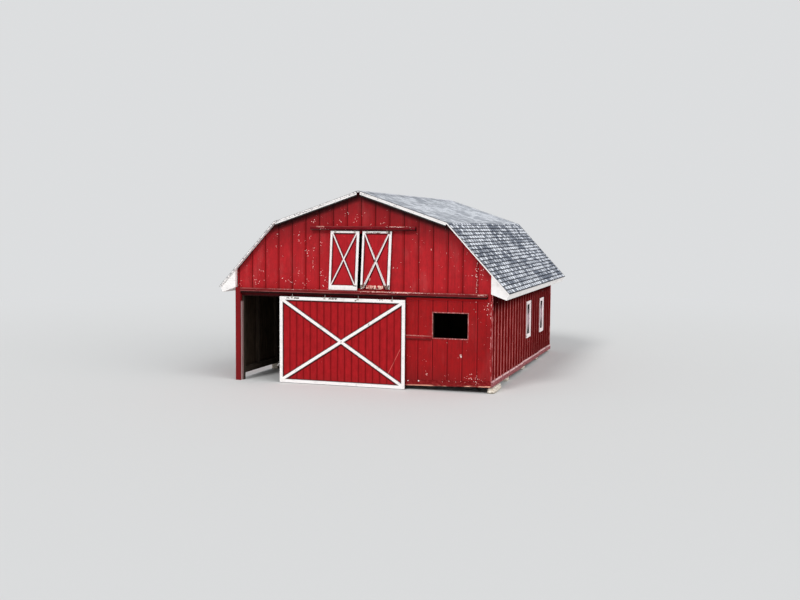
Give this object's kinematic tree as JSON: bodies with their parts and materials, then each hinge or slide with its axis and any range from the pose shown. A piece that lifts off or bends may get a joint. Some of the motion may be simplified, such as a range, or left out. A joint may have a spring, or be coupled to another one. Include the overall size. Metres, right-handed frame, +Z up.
{
  "type": "gambrel barn",
  "caption": "Hollow post-framed barn with a gambrel roof, boxed eaves, a loft behind two hanging leaves, an open front window and a wide front door that slides on a box track.",
  "frame": {"origin": "middle of the plan, on the level the barn rests on", "axes": "+X along the front wall to its right end, +Y back from the front, +Z up"},
  "size_m": [8.359, 10.054, 5.3479],
  "materials": {
    "front_red": "faded barn-red paint on board-and-batten, chipped",
    "side_red": "darker faded red paint",
    "worn_red": "weathered, chalky red paint",
    "white_paint": "white paint, peeling at the ends",
    "timber": "bare sawn softwood",
    "shingles": "grey mineral asphalt shingles",
    "concrete": "pale rough block",
    "steel": "dark weathered steel",
    "window_glass": "dusty pane"
  },
  "bodies": {
    "root": {"footing_blocks": "concrete", "sill_beams": "timber", "wall_posts": "timber", "end_beams": "timber", "top_plates": "timber", "loft_joists": "timber", "loft_floor": "timber", "purlins": "timber", "rafters_upper": "timber", "rafters_lower": "timber", "roof_upper_left": "shingles", "roof_upper_right": "shingles", "roof_lower_left": "shingles", "roof_lower_right": "shingles", "ridge_cap": "shingles", "rake_boards": "white_paint", "fascia_boards": "white_paint", "soffit_boards": "white_paint", "eave_closures": "white_paint", "siding_left": "side_red", "siding_right": "side_red", "siding_back": "side_red", "siding_front": "front_red", "siding_gable": "front_red", "battens_sides": "side_red", "battens_ends": "front_red", "corner_boards": "front_red", "skirt_boards": "worn_red", "track_hood": "front_red", "door_track": "steel", "loft_hood": "front_red", "loft_track": "steel", "leaf_panels": "front_red", "leaf_frames": "white_paint", "leaf_hangers": "steel", "window_frames": "white_paint", "window_glass": "window_glass", "front_window_edging": "timber", "ledger_board": "front_red"},
    "sliding_door": {"door_panel": "front_red", "door_rails": "front_red", "door_frame": "white_paint", "door_hangers": "steel", "door_pull": "white_paint"}
  },
  "joints": [
    {"name": "door_slide", "type": "slide", "parent": "root", "child": "sliding_door", "axis": [1, 0, 0], "range_m": [-1.12, 2.15]}
  ]
}
